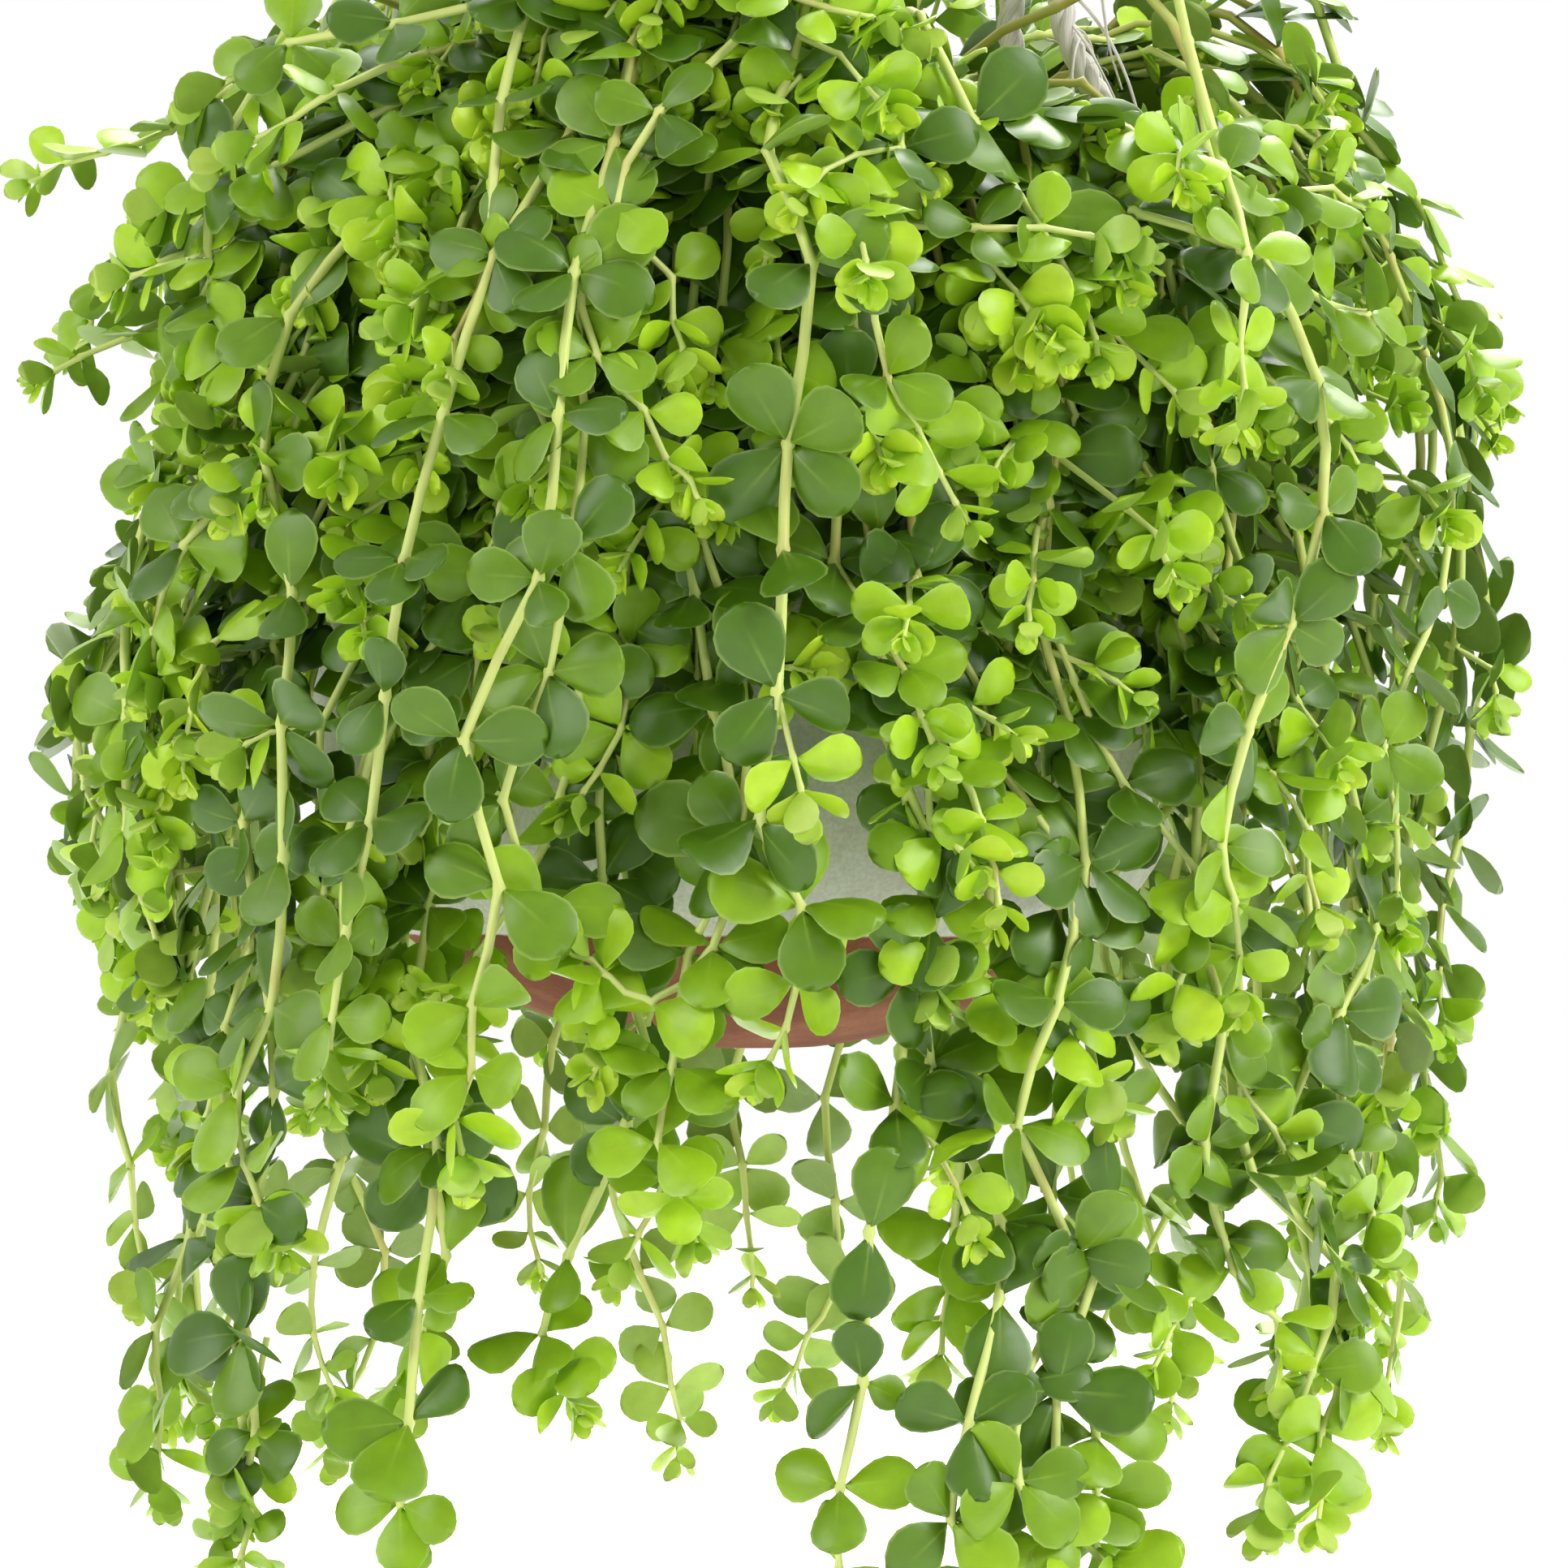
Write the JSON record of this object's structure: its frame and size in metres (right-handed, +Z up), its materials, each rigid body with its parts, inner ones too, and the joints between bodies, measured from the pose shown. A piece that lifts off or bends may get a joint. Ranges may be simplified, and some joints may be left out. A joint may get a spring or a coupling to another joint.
{
  "type": "potted peperomia",
  "caption": "Trailing peperomia in a round-bottomed hanging pot: leafy vines rise from potting mix, arch over the rim and hang all round, on three tied ropes that meet in a loop.",
  "frame": {"origin": "underside of the rope loop's crown, where a hook bears", "axes": "+Z up along the hanging line, -Y towards the front of the plant"},
  "size_m": [0.4173, 0.4156, 0.8148],
  "materials": {
    "whitewashed_terracotta": "matt limewashed clay above a bare terracotta foot",
    "potting_mix": "coarse, dark and damp",
    "cotton_rope": "loosely twisted undyed cotton, frayed",
    "peperomia": "fleshy satin leaves, pale stems"
  },
  "bodies": {
    "root": {"pot": "whitewashed_terracotta", "potting_mix": "potting_mix", "rope_right_sling": "cotton_rope", "rope_right_knot": "cotton_rope", "rope_right_riser": "cotton_rope", "rope_back_sling": "cotton_rope", "rope_back_knot": "cotton_rope", "rope_back_riser": "cotton_rope", "rope_left_sling": "cotton_rope", "rope_left_knot": "cotton_rope", "rope_left_riser": "cotton_rope", "gathering_wrap": "cotton_rope", "hanging_loop": "cotton_rope", "skirt_vine_01": "peperomia", "skirt_vine_02": "peperomia", "skirt_vine_03": "peperomia", "skirt_vine_04": "peperomia", "skirt_vine_05": "peperomia", "skirt_vine_06": "peperomia", "skirt_vine_07": "peperomia", "skirt_vine_08": "peperomia", "skirt_vine_09": "peperomia", "skirt_vine_10": "peperomia", "skirt_vine_11": "peperomia", "skirt_vine_12": "peperomia", "cascade_vine_01": "peperomia", "cascade_vine_02": "peperomia", "cascade_vine_03": "peperomia", "cascade_vine_04": "peperomia", "cascade_vine_05": "peperomia", "cascade_vine_06": "peperomia", "cascade_vine_07": "peperomia", "cascade_vine_08": "peperomia", "cascade_vine_09": "peperomia", "spray_vine_01": "peperomia", "spray_vine_02": "peperomia", "spray_vine_03": "peperomia", "spray_vine_04": "peperomia", "spray_vine_05": "peperomia", "spray_vine_06": "peperomia", "spray_vine_07": "peperomia"}
  },
  "joints": []
}
